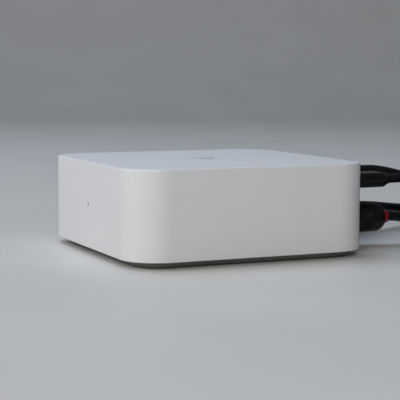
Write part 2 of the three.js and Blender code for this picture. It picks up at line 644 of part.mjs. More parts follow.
// Every lead's route runs from its plug in the back to the outer turn of its coil's second layer.
// Its tail runs from the outer turn of the lowest layer to the plug on its far end.
const LEADS = {
  power: {
    diameter: 3.7,
    centre: [38.8, 186],
    coilRadius: 18.9,
    layers: 4,
    near: { plug: powerPlug(), name: "power_plug", at: [20, 73.6, 27.1] },
    far: { plug: supplyPlug(), name: "supply_plug", at: [59.55, 169, 4.0] },
    route: [
      [20, 73.9, 27.1],
      [20, 84, 27],
      [20, 96, 24.4],
      [19.6, 108, 20.2],
      [19.3, 120, 18.8],
      [19, 131, 15.6],
      [18.6, 144, 10.4],
      [18.3, 157, 6.9],
      [18.1, 169, 5.7],
      [18.05, 178, 5.6],
    ],
    tail: [
      [59.55, 179, 1.95],
      [59.55, 175.5, 2.3],
      [59.55, 172.5, 3.5],
      [59.55, 169.3, 4.0],
    ],
  },
  audio: {
    diameter: 4.0,
    centre: [39.5, 107.5],
    coilRadius: 20.2,
    layers: 4,
    near: { plug: audioPlug(), name: "audio_plug", at: [20, 73.6, 11.7] },
    far: { plug: audioPlug(), name: "audio_far_plug", at: [61.7, 91.3, 6.1] },
    route: [
      [20, 73.9, 11.7],
      [20, 79, 11.2],
      [19.6, 86, 9.1],
      [18.5, 93, 7],
      [17.5, 101, 6.1],
    ],
    tail: [
      [61.7, 101, 2.1],
      [61.7, 98.5, 2.6],
      [61.7, 96, 4.2],
      [61.7, 94, 5.9],
      [61.7, 91.65, 6.1],
    ],
  },
  hdmi: {
    diameter: 5.0,
    centre: [-18, 196.9],
    coilRadius: 25.5,
    layers: 3,
    near: { plug: hdmiPlug(), name: "hdmi_plug", at: [-20, 84.1, 27.1] },
    far: { plug: hdmiPlug(), name: "hdmi_far_plug", at: [2.6, 224.9, 5.3], turn: 90 },
    route: [
      [-20, 84.4, 27.1],
      [-20, 92, 26.9],
      [-21, 104, 24.6],
      [-24.5, 116, 21.4],
      [-29.5, 128, 19.9],
      [-35, 141, 19.9],
      [-40, 154, 19.9],
      [-43.3, 166, 17],
      [-45.3, 178, 11.2],
      [-46, 190, 7.8],
    ],
    tail: [
      [-11, 224.9, 2.6],
      [-7, 224.9, 2.9],
      [-3, 224.9, 4.2],
      [0, 224.9, 5.2],
      [2.3, 224.9, 5.3],
    ],
  },
  ethernet: {
    diameter: 4.2,
    centre: [-20.1, 140.5],
    coilRadius: 21,
    layers: 4,
    near: { plug: ethernetPlug(), name: "ethernet_plug", at: [-20, 69, 11.7] },
    far: { plug: ethernetPlug(), name: "ethernet_far_plug", at: [3.8, 126.6, 4.7] },
    route: [
      [-20, 69.3, 11.7],
      [-20, 79, 11.7],
      [-21, 90, 11.2],
      [-25.5, 102, 9.7],
      [-33, 114.5, 8],
      [-40, 126, 6.8],
      [-43.1, 135, 6.4],
    ],
    tail: [
      [3.1, 135.5, 2.15],
      [3.3, 133, 2.5],
      [3.6, 130.6, 3.6],
      [3.8, 128.6, 4.6],
      [3.8, 126.9, 4.7],
    ],
  },
};

function placePlug({ plug, name, at, turn = 0 }) {
  for (const [piece, [material, body]] of Object.entries(plug)) {
    part(`${name}_${piece}`, material, body.rotate([0, 0, turn]).translate(at));
  }
}

function placeLead(name, lead) {
  placePlug(lead.near);
  placePlug(lead.far);
  const room = coilRing(lead, GAP);
  part(`${name}_cord`, CABLE_JACKET, cut(cordTube(lead.route, lead.diameter), room));
  part(`${name}_cord_coil`, CABLE_JACKET, coilRing(lead));
  part(`${name}_cord_tail`, CABLE_JACKET, cut(cordTube(lead.tail, lead.diameter), room));
}

// ---------------------------------------------------------------- assembly

const cornerNames = ["rear_right", "rear_left", "front_left", "front_right"];

part("housing", WHITE_PLASTIC, housing());
const emblemShape = playTriangle(EMBLEM_SIZE.radius, EMBLEM_SIZE.corner);
const emblemFloor = HEIGHT - EMBLEM_SIZE.depth + GAP / 2;
part("top_emblem", EMBLEM, standing(emblemShape, emblemFloor, HEIGHT - 0.05, { size: 0 }, 4));
part("base_plate", BASE_PLASTIC, basePlate());
part("rubber_foot", RUBBER, rubberFoot());
part("rear_panel", BLACK_PLASTIC, rearPanel());
corners.forEach((corner, i) => part(`base_screw_${cornerNames[i]}`, STEEL, baseScrew(corner)));

part("main_board", BOARD_GREEN, mainBoard());
part("socket_board", BOARD_GREEN, ioBoard());
part("front_board", BOARD_GREEN, frontBoard());
part("board_screw_rear_left", STEEL, boardScrew(corners[1]));
part("board_screw_front_right", STEEL, boardScrew(corners[3]));
part("main_processor", CHIP, processor());
part("wireless_module", ALUMINIUM, wifiModule());
part("antenna", BOARD_GREEN, antenna());
part("heat_sink", ALUMINIUM, heatSink());
part("fan_housing", BLACK_PLASTIC, fanHousing());
part("fan_rotor", BLACK_PLASTIC, fanRotor());
part("status_led", LIGHT_PIPE, statusLed());
part("light_pipe", LIGHT_PIPE, lightPipe());
part("ir_receiver", CHIP, irReceiver());

part("power_socket", STEEL, powerSocket());
part("hdmi_socket", STEEL, hdmiSocket());
part("audio_socket", BLACK_PLASTIC, audioJackBody());
part("audio_socket_barrel", STEEL, audioJackBarrel());
part("ethernet_socket", BLACK_PLASTIC, ethernetSocket());
part("reset_button", BLACK_PLASTIC, resetButton());
part("reset_switch", CHIP, resetSwitch());

for (const [name, lead] of Object.entries(LEADS)) placeLead(name, lead);

const player = new THREE.Group();
for (const mesh of nodes.values()) player.add(mesh);

export default player;
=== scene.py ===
import json
import math

import bmesh
import bpy
from mathutils import Matrix, Vector


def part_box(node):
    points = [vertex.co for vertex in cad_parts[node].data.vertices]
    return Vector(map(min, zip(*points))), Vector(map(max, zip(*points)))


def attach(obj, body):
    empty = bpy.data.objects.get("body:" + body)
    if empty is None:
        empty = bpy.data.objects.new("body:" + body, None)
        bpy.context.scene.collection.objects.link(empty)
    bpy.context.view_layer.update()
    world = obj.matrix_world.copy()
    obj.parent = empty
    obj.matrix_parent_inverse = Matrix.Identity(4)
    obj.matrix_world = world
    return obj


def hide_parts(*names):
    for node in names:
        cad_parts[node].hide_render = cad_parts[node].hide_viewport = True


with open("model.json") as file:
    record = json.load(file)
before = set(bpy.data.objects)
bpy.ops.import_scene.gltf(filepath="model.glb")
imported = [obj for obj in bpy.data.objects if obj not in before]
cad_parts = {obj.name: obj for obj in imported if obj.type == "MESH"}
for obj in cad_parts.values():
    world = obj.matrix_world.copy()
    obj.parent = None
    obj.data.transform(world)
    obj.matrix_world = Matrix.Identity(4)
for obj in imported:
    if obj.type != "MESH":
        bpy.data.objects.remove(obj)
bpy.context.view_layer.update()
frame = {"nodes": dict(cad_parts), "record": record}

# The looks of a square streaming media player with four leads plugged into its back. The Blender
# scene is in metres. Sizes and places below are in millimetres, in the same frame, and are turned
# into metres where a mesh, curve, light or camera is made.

MM = 0.001
BODY = "player"

# ------------------------------------------------------------------ measures shared by the pieces


def cad_box_mm(node):
    """A node's lowest and highest corners in millimetres."""
    low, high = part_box(node)
    return low / MM, high / MM


HOUSING_LOW, HOUSING_HIGH = cad_box_mm("housing")
HALF = HOUSING_HIGH.x
TOP = HOUSING_HIGH.z
SHELL_BOTTOM = HOUSING_LOW.z
CORNER_RADIUS = 14.7
WALL = 2.2
ROOF = 2.4
CEILING = TOP - ROOF
GAP = 0.3  # between parts that are assembled
LEAD_CLEARANCE = 0.05  # the least height of any lead above the surface
SMOOTH_ANGLE = 32  # an edge sharper than this many degrees stays sharp
WELD = 1e-7  # points closer than this many metres become one

UPPER_ROW = 27.1
LOWER_ROW = 11.7
POWER_AT = (20, UPPER_ROW)
AUDIO_AT = (20, LOWER_ROW)
HDMI_AT = (-20, UPPER_ROW)
ETHERNET_AT = (-20, LOWER_ROW)
RESET_AT = (0.5, LOWER_ROW)

# ------------------------------------------------------------------ materials


def shader(name, rough, metal=0.0, specular=0.5):
    """A material with a Principled shader whose base colour and roughness are still to be driven."""
    material = bpy.data.materials.new(name)
    material.use_nodes = True
    tree = material.node_tree
    bsdf = tree.nodes["Principled BSDF"]
    bsdf.inputs["Roughness"].default_value = rough
    bsdf.inputs["Metallic"].default_value = metal
    bsdf.inputs["Specular IOR Level"].default_value = specular
    return material, tree, bsdf


def place_of(tree, stretch=(1, 1, 1)):
    """The point on the object, in metres, stretched along its axes."""
    coordinates = tree.nodes.new("ShaderNodeTexCoord")
    mapping = tree.nodes.new("ShaderNodeMapping")
    mapping.inputs["Scale"].default_value = stretch
    tree.links.new(coordinates.outputs["Object"], mapping.inputs["Vector"])
    return mapping.outputs["Vector"]


def noise(tree, place, feature_mm, detail=3.0, rough=0.5):
    """Noise whose blobs are about feature_mm across."""
    texture = tree.nodes.new("ShaderNodeTexNoise")
    texture.inputs["Scale"].default_value = 1 / (feature_mm * MM)
    texture.inputs["Detail"].default_value = detail
    texture.inputs["Roughness"].default_value = rough
    tree.links.new(place, texture.inputs["Vector"])
    return texture.outputs["Fac"]


def ranged(tree, value, low, high, out_low, out_high):
    """Value from low to high, spread from out_low to out_high."""
    node = tree.nodes.new("ShaderNodeMapRange")
    node.inputs["From Min"].default_value = low
    node.inputs["From Max"].default_value = high
    node.inputs["To Min"].default_value = out_low
    node.inputs["To Max"].default_value = out_high
    tree.links.new(value, node.inputs["Value"])
    return node.outputs["Result"]


def between(tree, value, first, second):
    """A colour that goes from first to second as value goes from 0 to 1."""
    node = tree.nodes.new("ShaderNodeMix")
    node.data_type = "RGBA"
    node.inputs["A"].default_value = (*first, 1)
    node.inputs["B"].default_value = (*second, 1)
    tree.links.new(value, node.inputs["Factor"])
    return node.outputs["Result"]


def evened(tree, value, out_low, out_high):
    """Noise, whose values crowd round the middle, spread from out_low to out_high."""
    return ranged(tree, value, 0.3, 0.7, out_low, out_high)


def bumped(tree, bsdf, height, depth_mm):
    """Bumps that stand out by depth_mm where height is 1."""
    node = tree.nodes.new("ShaderNodeBump")
    node.inputs["Strength"].default_value = 1.0
    node.inputs["Distance"].default_value = depth_mm * MM
    tree.links.new(height, node.inputs["Height"])
    tree.links.new(node.outputs["Normal"], bsdf.inputs["Normal"])


def tinted(colour, factor):
    """A colour made darker or lighter."""
    return tuple(min(1.0, c * factor) for c in colour)


def plastic(name, colour, rough, grain_mm, grain_depth, uneven, specular=0.5, coat=0.0):
    """Moulded plastic: a fine grain, faint clouding, and patches that are a little more polished."""
    material, tree, bsdf = shader(name, rough, specular=specular)
    place = place_of(tree)
    clouds = evened(tree, noise(tree, place, feature_mm=14, detail=4), 0, 1)
    tint = between(tree, clouds, tinted(colour, 1 - uneven), tinted(colour, 1 + uneven))
    tree.links.new(tint, bsdf.inputs["Base Color"])
    patches = noise(tree, place, feature_mm=5, detail=5, rough=0.65)
    polish = evened(tree, patches, rough - 0.05, rough + 0.05)
    tree.links.new(polish, bsdf.inputs["Roughness"])
    bumped(tree, bsdf, noise(tree, place, grain_mm, detail=2), grain_depth)
    if coat:
        bsdf.inputs["Coat Weight"].default_value = coat
        bsdf.inputs["Coat Roughness"].default_value = 0.15
    return material


def metal(name, colour, rough, along):
    """Metal with fine streaks along one axis, from drawing or brushing, and a faint tarnish."""
    material, tree, bsdf = shader(name, rough, metal=1.0)
    place = place_of(tree, along)
    streaks = noise(tree, place, feature_mm=0.12)
    polish = evened(tree, streaks, rough - 0.08, rough + 0.1)
    tree.links.new(polish, bsdf.inputs["Roughness"])
    tarnish = ranged(tree, noise(tree, place_of(tree), feature_mm=3, detail=4), 0.35, 0.7, 0, 1)
    tint = between(tree, tarnish, colour, tinted(colour, 0.86))
    tree.links.new(tint, bsdf.inputs["Base Color"])
    bumped(tree, bsdf, streaks, depth_mm=0.002)
    return material


TRACK_SCALE = 420
PAD_SCALE = 260
MASK_DARK = (0.012, 0.085, 0.045)
MASK_LIGHT = (0.015, 0.1, 0.052)
MASK_OVER_TRACK = (0.03, 0.2, 0.1)
TIN = (0.6, 0.6, 0.58)


def circuit_board(name):
    """Green solder mask over a grid of tracks, with tinned pads."""
    material, tree, bsdf = shader(name, 0.4)
    place = place_of(tree)
    tracks = tree.nodes.new("ShaderNodeTexBrick")
    tracks.inputs["Scale"].default_value = TRACK_SCALE
    tracks.inputs["Mortar Size"].default_value = 0.06
    tracks.inputs["Color1"].default_value = (*MASK_DARK, 1)
    tracks.inputs["Color2"].default_value = (*MASK_LIGHT, 1)
    tracks.inputs["Mortar"].default_value = (*MASK_OVER_TRACK, 1)
    tree.links.new(place, tracks.inputs["Vector"])
    pads = tree.nodes.new("ShaderNodeTexVoronoi")
    pads.inputs["Scale"].default_value = PAD_SCALE
    tree.links.new(place, pads.inputs["Vector"])
    is_pad = ranged(tree, pads.outputs["Distance"], 0.12, 0.16, 1, 0)
    mix = tree.nodes.new("ShaderNodeMix")
    mix.data_type = "RGBA"
    tree.links.new(is_pad, mix.inputs["Factor"])
    tree.links.new(tracks.outputs["Color"], mix.inputs["A"])
    mix.inputs["B"].default_value = (*TIN, 1)
    tree.links.new(mix.outputs["Result"], bsdf.inputs["Base Color"])
    tree.links.new(ranged(tree, is_pad, 0, 1, 0.38, 0.25), bsdf.inputs["Roughness"])
    tree.links.new(is_pad, bsdf.inputs["Metallic"])
    bumped(tree, bsdf, tracks.outputs["Fac"], depth_mm=0.03)
    return material


def clear_plastic(name, colour, rough):
    """Clear moulded plastic, a little clouded by its own scratches."""
    material, tree, bsdf = shader(name, rough)
    bsdf.inputs["Transmission Weight"].default_value = 0.7
    bsdf.inputs["IOR"].default_value = 1.58
    haze = evened(tree, noise(tree, place_of(tree), feature_mm=1.5, detail=4), 0, 1)
    tree.links.new(between(tree, haze, colour, tinted(colour, 0.9)), bsdf.inputs["Base Color"])
    scratches = noise(tree, place_of(tree), feature_mm=0.6)
    polish = evened(tree, scratches, rough, rough + 0.12)
    tree.links.new(polish, bsdf.inputs["Roughness"])
    return material


# Plastics: colour, roughness, size and depth of the grain in millimetres, and the share by which the
# colour varies. Metals: colour, roughness, and how much the streaks are stretched along each axis.
WHITE = plastic("white_plastic", (0.78, 0.785, 0.80), 0.46, 0.22, 0.003, uneven=0.008)
BASE_GREY = plastic("base_plastic", (0.17, 0.167, 0.168), 0.42, 0.3, 0.006, uneven=0.06)
RUBBER = plastic("foot_rubber", (0.022, 0.022, 0.024), 0.8, 0.35, 0.01, uneven=0.1)
BLACK = plastic("black_plastic", (0.006, 0.0063, 0.0074), 0.44, 0.3, 0.008, uneven=0.08, specular=0.3)
JACKET = plastic("cable_jacket", (0.0055, 0.0058, 0.007), 0.42, 0.4, 0.01, uneven=0.1, specular=0.3)
OVERMOULD = plastic("overmould", (0.0045, 0.0048, 0.006), 0.36, 0.28, 0.008, uneven=0.1, specular=0.3)
RED = plastic("red_plastic", (0.31, 0.005, 0.009), 0.36, 0.3, 0.004, uneven=0.05)
EMBLEM = plastic("emblem", (0.64, 0.67, 0.72), 0.34, 0.5, 0.001, uneven=0.02)
LIGHT_GUIDE = plastic("light_guide", (0.035, 0.037, 0.042), 0.18, 0.5, 0.001, uneven=0.05, coat=0.5)
CHIP = plastic("chip_plastic", (0.016, 0.0165, 0.018), 0.5, 0.18, 0.008, uneven=0.1)
CLEAR = clear_plastic("clear_plastic", (0.8, 0.82, 0.84), 0.12)
BOARD = circuit_board("circuit_board")
STEEL = metal("nickel_plate", (0.62, 0.61, 0.58), 0.28, along=(1, 0.08, 1))
ALUMINIUM = metal("aluminium", (0.60, 0.61, 0.62), 0.42, along=(1, 0.05, 1))
GOLD = metal("gold_plate", (0.83, 0.58, 0.22), 0.25, along=(1, 0.1, 1))
TIE = plastic("cable_tie", (0.02, 0.02, 0.022), 0.7, 0.5, 0.02, uneven=0.15)

SLOTS = {
    "white_plastic": WHITE,
    "base_plastic": BASE_GREY,
    "foot_rubber": RUBBER,
    "black_plastic": BLACK,
    "cable_jacket": JACKET,
    "red_plastic": RED,
    "emblem": EMBLEM,
    "light_pipe": LIGHT_GUIDE,
    "clear_plastic": CLEAR,
    "circuit_board": BOARD,
    "chip_plastic": CHIP,
    "steel": STEEL,
    "aluminium": ALUMINIUM,
    "gold_contact": GOLD,
}

for subpart in frame["record"]["subparts"]:
    node = frame["nodes"][subpart["node"]]
    node.data.materials.clear()
    node.data.materials.append(SLOTS[subpart["material_slot"]])

# ------------------------------------------------------------------ mesh helpers


def closed_mesh(name, vertices, faces, material, weld=False):
    """An object with a closed mesh from points in millimetres, its faces turned outwards."""
    mesh = bpy.data.meshes.new(name)
    mesh.from_pydata([tuple(c * MM for c in v) for v in vertices], [], faces)
    work = bmesh.new()
    work.from_mesh(mesh)
    if weld:
        bmesh.ops.remove_doubles(work, verts=work.verts, dist=WELD)
    bmesh.ops.recalc_face_normals(work, faces=work.faces)
    work.to_mesh(mesh)
    work.free()
    mesh.materials.append(material)
    made = bpy.data.objects.new(name, mesh)
    bpy.context.scene.collection.objects.link(made)
    return made


def tool(vertices, faces, material):
    """A closed mesh that only cuts."""
    return closed_mesh("tool", vertices, faces, material)


def piece(name, vertices, faces, material, slot, replaces=(), smooth_angle=SMOOTH_ANGLE, body=BODY):
    """A visible closed mesh. It rides on a body and stands for CAD nodes."""
    made = closed_mesh(name, vertices, faces, material, weld=True)
    shade(made.data, smooth_angle)
    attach(made, body)
    if replaces:
        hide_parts(*replaces)
    return made


def shade(mesh, angle):
    """Smooth shading, apart from the edges sharper than angle degrees."""
    mesh.polygons.foreach_set("use_smooth", [True] * len(mesh.polygons))
    mesh.set_sharp_from_angle(angle=math.radians(angle))
    mesh.update()


def cut_by(made, *cutters, smooth_angle=SMOOTH_ANGLE):
    """An object without the space of the cutters, which are then removed."""
    for cutter in cutters:
        modifier = made.modifiers.new("cut", "BOOLEAN")
        modifier.operation = "DIFFERENCE"
        modifier.solver = "EXACT"
        modifier.object = cutter
    bpy.context.view_layer.update()
    evaluated = made.evaluated_get(bpy.context.evaluated_depsgraph_get())
    mesh = bpy.data.meshes.new_from_object(evaluated)
    made.modifiers.clear()
    made.data = mesh
    shade(mesh, smooth_angle)
    for cutter in cutters:
        bpy.data.objects.remove(cutter)
    return made


def quads_between(below, above, count):
    """The faces between two rings of count points, given the index of each ring's first point."""
    pairs = [(j, (j + 1) % count) for j in range(count)]
    return [(below + j, below + k, above + k, above + j) for j, k in pairs]


def lofted(rings):
    """Vertices and faces of a closed body through rings of equally many points."""
    count = len(rings[0])
    vertices = [point for ring in rings for point in ring]
    faces = [tuple(range(count))[::-1]]
    for i in range(len(rings) - 1):
        faces += quads_between(i * count, (i + 1) * count, count)
    last = (len(rings) - 1) * count
    faces.append(tuple(range(last, last + count)))
    return vertices, faces


def looped(rings):
    """Vertices and faces of a closed hoop through rings, the last of which joins the first."""
    count = len(rings[0])
    vertices = [point for ring in rings for point in ring]
    faces = []
    for i in range(len(rings)):
        faces += quads_between(i * count, (i + 1) % len(rings) * count, count)
    return vertices, faces


def rounded_outline(half_u, half_v, radius, steps=10):
    """The points of a rectangle with round corners."""
    radius = min(radius, half_u, half_v)
    points = []
    for quarter in range(4):
        side_u = 1 if quarter in (0, 3) else -1
        side_v = 1 if quarter in (0, 1) else -1
        for i in range(steps + 1):
            angle = math.pi / 2 * (quarter + i / steps)
            u = side_u * (half_u - radius) + radius * math.cos(angle)
            v = side_v * (half_v - radius) + radius * math.sin(angle)
            points.append((u, v))
    return points


def ring_at(outline, along):
    """A ring from an outline: its points with a third number."""
    return [(u, v, along) for u, v in outline]


def start_edge_sections(start, radius, steps=6):
    """(inset, place) pairs of a quarter-round edge, from the start of a body inwards."""
    if not radius:
        return [(0, start)]
    angles = [math.pi / 2 * i / steps for i in range(steps + 1)]
    return [(radius * (1 - math.sin(a)), start + radius * (1 - math.cos(a))) for a in angles]


def end_edge_sections(end, radius, steps=6):
    """(inset, place) pairs of a quarter-round edge, towards the end of a body."""
    return [(inset, end - depth) for inset, depth in reversed(start_edge_sections(0, radius, steps))]


def bar_rings(half_u, half_v, corner, start, end, start_edge=0.0, end_edge=0.0, steps=8):
    """Rings of a bar along the third axis, whose ends may have round edges."""
    rings = []
    for inset, along in start_edge_sections(start, start_edge) + end_edge_sections(end, end_edge):
        outline = rounded_outline(half_u - inset, half_v - inset, max(corner - inset, 0.05), steps)
        rings.append(ring_at(outline, along))
    return rings


def upright(rings, centre=(0, 0)):
    """Rings whose third number is the height."""
    return [[(u + centre[0], v + centre[1], along) for u, v, along in ring] for ring in rings]


def backward(rings, centre=(0, 0)):
    """Rings whose third number runs along +Y. The centre is (x, z)."""
    return [[(u + centre[0], along, v + centre[1]) for u, v, along in ring] for ring in rings]


def turned(profile, segments=48):
    """Vertices and faces of a closed body turned round the Y axis from (radius, y) pairs."""
    rings = []
    for radius, along in profile:
        ring = []
        for i in range(segments):
            angle = 2 * math.pi * i / segments
            ring.append((radius * math.cos(angle), along, radius * math.sin(angle)))
        rings.append(ring)
    return lofted(rings)


def moved(vertices, at, turn=0.0):
    """Points turned about the vertical axis by turn degrees and moved to at."""
    cos, sin = math.cos(math.radians(turn)), math.sin(math.radians(turn))
    return [(x * cos - y * sin + at[0], x * sin + y * cos + at[1], z + at[2]) for x, y, z in vertices]


# ------------------------------------------------------------------ camera
# The camera looks at the front from the right and a little above. Its place comes from the edges of
# the case as they should appear: the distance, and the two shifts across and up, are in case widths.

CAMERA_AZIMUTH = 65.82
CAMERA_ELEVATION = 5.839
CAMERA_ROLL = 0.167
CAMERA_DISTANCE = 5.189
CAMERA_ACROSS = -0.0156
CAMERA_UP = 0.1681
FOCAL_SHARE = 3.1667  # the focal length over the picture's width
SENSOR_WIDTH = 36


def make_camera():
    """The camera, placed by the angles, the distance and the shifts above."""
    azimuth = math.radians(CAMERA_AZIMUTH)
    elevation = math.radians(CAMERA_ELEVATION)
    roll = math.radians(CAMERA_ROLL)
    level = math.cos(elevation)
    back = Vector((math.sin(azimuth) * level, -math.cos(azimuth) * level, math.sin(elevation)))
    right = Vector((math.cos(azimuth), math.sin(azimuth), 0))
    up = back.cross(right)
    tilted_right = right * math.cos(roll) + up * math.sin(roll)
    tilted_up = up * math.cos(roll) - right * math.sin(roll)
    width = 2 * HALF
    place = width * (back * CAMERA_DISTANCE + tilted_right * CAMERA_ACROSS + tilted_up * CAMERA_UP)
    place.z += SHELL_BOTTOM
    data = bpy.data.cameras.new("camera")
    data.sensor_width = SENSOR_WIDTH
    data.lens = SENSOR_WIDTH * FOCAL_SHARE
    data.clip_start = 0.02
    data.clip_end = 20
    camera = bpy.data.objects.new("camera", data)
    turn = Matrix((tilted_right, tilted_up, back)).transposed().to_4x4()
    camera.matrix_world = Matrix.Translation(place * MM) @ turn
    bpy.context.scene.collection.objects.link(camera)
    bpy.context.scene.camera = camera


make_camera()

# ------------------------------------------------------------------ leads

COIL_POINTS_PER_TURN = 24
CHANGE_SHARE = 0.3  # the share of a turn in which a coil steps to its next column or layer
HUMP = 0.37  # how far the step across the top rises, in cord diameters
INTO_PLUG = 1.5  # how far a cord reaches into the plug that it leaves

# Each lead starts at its plug in the back of the player, follows its route to a coil, winds through
# it, and follows its tail to the plug on its far end. The route leads up to the left side of the
# coil, and the cord leaves the coil leaves_at degrees clockwise from there. Lengths are in metres.
LEADS = {
    "power": {
        "length": 1.01,
        "diameter": 3.7,
        "centre": (38.8, 186),
        "coil_radius": 18.9,
        "layers": 4,
        "leaves_at": 180,
        "route": [
            (20, 73.9, 27.1),
            (20, 84, 27),
            (20, 96, 24.4),
            (19.6, 108, 20.2),
            (19.3, 120, 18.8),
            (19, 131, 15.6),
            (18.6, 144, 10.4),
            (18.3, 157, 6.9),
            (18.1, 169, 5.7),
            (18.05, 178, 5.6),
        ],
        "tail": [
            (59.55, 179, 1.95),
            (59.55, 175.5, 2.3),
            (59.55, 172.5, 3.5),
            (59.55, 169.3, 4.0),
        ],
    },
    "audio": {
        "length": 0.99,
        "diameter": 4.0,
        "centre": (39.5, 107.5),
        "coil_radius": 20.2,
        "layers": 4,
        "leaves_at": 180,
        "route": [
            (20, 73.9, 11.7),
            (20, 79, 11.2),
            (19.6, 86, 9.1),
            (18.5, 93, 7),
            (17.5, 101, 6.1),
        ],
        "tail": [
            (61.7, 101, 2.1),
            (61.7, 98.5, 2.6),
            (61.7, 96, 4.2),
            (61.7, 94, 5.9),
            (61.7, 91.65, 6.1),
        ],
    },
    "hdmi": {
        "length": 0.97,
        "diameter": 5.0,
        "centre": (-18, 196.9),
        "coil_radius": 25.5,
        "layers": 3,
        "leaves_at": 90,
        "route": [
            (-20, 84.4, 27.1),
            (-20, 92, 26.9),
            (-21, 104, 24.6),
            (-24.5, 116, 21.4),
            (-29.5, 128, 19.9),
            (-35, 141, 19.9),
            (-40, 154, 19.9),
            (-43.3, 166, 17),
            (-45.3, 178, 11.2),
            (-46, 190, 7.8),
        ],
        "tail": [
            (-11, 224.9, 2.6),
            (-7, 224.9, 2.9),
            (-3, 224.9, 4.2),
            (0, 224.9, 5.2),
            (2.3, 224.9, 5.3),
        ],
    },
    "ethernet": {
        "length": 1.07,
        "diameter": 4.2,
        "centre": (-20.1, 140.5),
        "coil_radius": 21,
        "layers": 4,
        "leaves_at": 180,
        "route": [
            (-20, 69.3, 11.7),
            (-20, 79, 11.7),
            (-21, 90, 11.2),
            (-25.5, 102, 9.7),
            (-33, 114.5, 8),
            (-40, 126, 6.8),
            (-43.1, 135, 6.4),
        ],
        "tail": [
            (3.1, 135.5, 2.15),
            (3.3, 133, 2.5),
            (3.6, 130.6, 3.6),
            (3.8, 128.6, 4.6),
            (3.8, 126.9, 4.7),
        ],
    },
}


def smooth_through(points, per_span=4):
    """Points along a centripetal Catmull-Rom curve through the given ones."""
    p = [Vector(q) for q in points]
    p = [2 * p[0] - p[1]] + p + [2 * p[-1] - p[-2]]
    out = []
    for i in range(1, len(p) - 2):
        knots = [0.0]
        for a, b in zip(p[i - 1 : i + 2], p[i : i + 3]):
            knots.append(knots[-1] + max((b - a).length, 1e-6) ** 0.5)
        t0, t1, t2, t3 = knots
        for step in range(per_span):
            t = t1 + (t2 - t1) * step / per_span
            a1 = p[i - 1] * ((t1 - t) / (t1 - t0)) + p[i] * ((t - t0) / (t1 - t0))
            a2 = p[i] * ((t2 - t) / (t2 - t1)) + p[i + 1] * ((t - t1) / (t2 - t1))
            a3 = p[i + 1] * ((t3 - t) / (t3 - t2)) + p[i + 2] * ((t - t2) / (t3 - t2))
            b1 = a1 * ((t2 - t) / (t2 - t0)) + a2 * ((t - t0) / (t2 - t0))
            b2 = a2 * ((t3 - t) / (t3 - t1)) + a3 * ((t - t1) / (t3 - t1))
            out.append(b1 * ((t2 - t) / (t2 - t1)) + b2 * ((t - t1) / (t2 - t1)))
    out.append(p[-2].copy())
    return out


def eased(t):
    """From 0 to 1 with a gentle start and end."""
    return t * t * (3 - 2 * t)


def coil_points(lead):
    """The turns of a coil, clockwise seen from above, from its left side to where it leaves.

    They start in the second layer's outer turn, climb the outer column, come down the inner one, and
    end in the lowest layer's outer turn.
    """
    diameter, layers = lead["diameter"], lead["layers"]
    outer, inner = lead["coil_radius"] + diameter / 2, lead["coil_radius"] - diameter / 2
    heights = [LEAD_CLEARANCE + diameter * (layer + 0.5) for layer in range(layers)]
    places = [(outer, height) for height in heights[1:]]
    places += [(inner, height) for height in reversed(heights)]
    places.append((outer, heights[0]))
    lead_in = lead["leaves_at"] / 360
    turns = lead_in + len(places) - 1
    steps = round(turns * COIL_POINTS_PER_TURN)
    points = []
    for step in range(steps + 1):
        turned_by = turns * step / steps
        after = turned_by - lead_in
        index = min(max(math.floor(after), 0), len(places) - 2)
        change = min(max((after - index) / CHANGE_SHARE, 0), 1)
        (r0, z0), (r1, z1) = places[index], places[index + 1]
        if index == len(places) - 2:
            change = min(2 * change, 1)
        share = eased(change)
        crosses_top = z0 == z1 == heights[-1]
        hump = HUMP * diameter * math.sin(math.pi * share) if crosses_top else 0
        radius = r0 + (r1 - r0) * share
        angle = math.pi - 2 * math.pi * turned_by
        x = lead["centre"][0] + radius * math.cos(angle)
        y = lead["centre"][1] + radius * math.sin(angle)
        points.append(Vector((x, y, z0 + (z1 - z0) * share + hump)))
    return points


def make_lead(name, lead):
    """One smooth curve along the route, through the coil and the tail, thick as the cord."""
    start = Vector(lead["route"][0]) + Vector((0, -INTO_PLUG, 0))
    route = smooth_through(lead["route"])
    tail = smooth_through(lead["tail"])
    points = [start, *route, *coil_points(lead), *tail[1:]]
    data = bpy.data.curves.new(name + "_lead", "CURVE")
    data.dimensions = "3D"
    data.bevel_depth = lead["diameter"] / 2 * MM
    data.bevel_resolution = 5
    data.use_fill_caps = True
    data.resolution_u = 4
    spline = data.splines.new("BEZIER")
    spline.bezier_points.add(len(points) - 1)
    for knot, point in zip(spline.bezier_points, points):
        knot.co = point * MM
        knot.handle_left_type = knot.handle_right_type = "AUTO"
    data.materials.append(JACKET)
    made = bpy.data.objects.new(name + "_lead", data)
    bpy.context.scene.collection.objects.link(made)
    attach(made, BODY)
    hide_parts(f"{name}_cord", f"{name}_cord_coil", f"{name}_cord_tail")


# ------------------------------------------------------------------ casing

PANEL_LOW, PANEL_HIGH = cad_box_mm("rear_panel")
PANEL_HALF = PANEL_HIGH.x
PANEL_MIDDLE = (0, (PANEL_LOW.z + PANEL_HIGH.z) / 2)
PANEL_HALF_HEIGHT = (PANEL_HIGH.z - PANEL_LOW.z) / 2
PANEL_INSIDE, PANEL_OUTSIDE = PANEL_LOW.y, PANEL_HIGH.y
TOP_EDGE = 0.6
BOTTOM_EDGE = 0.35
CORNER_STEPS = 24
WINDOW_CORNER, WINDOW_FLARE = 1.5, 0.45
LIGHT_RADIUS, LIGHT_FLARE, LIGHT_COLLAR = 0.75, 0.25, 1.3
LIGHT_HEIGHT = 19.8
EMBLEM_RADIUS = 8
EMBLEM_DEPTH = 0.5
EMBLEM_CORNER = 1.4


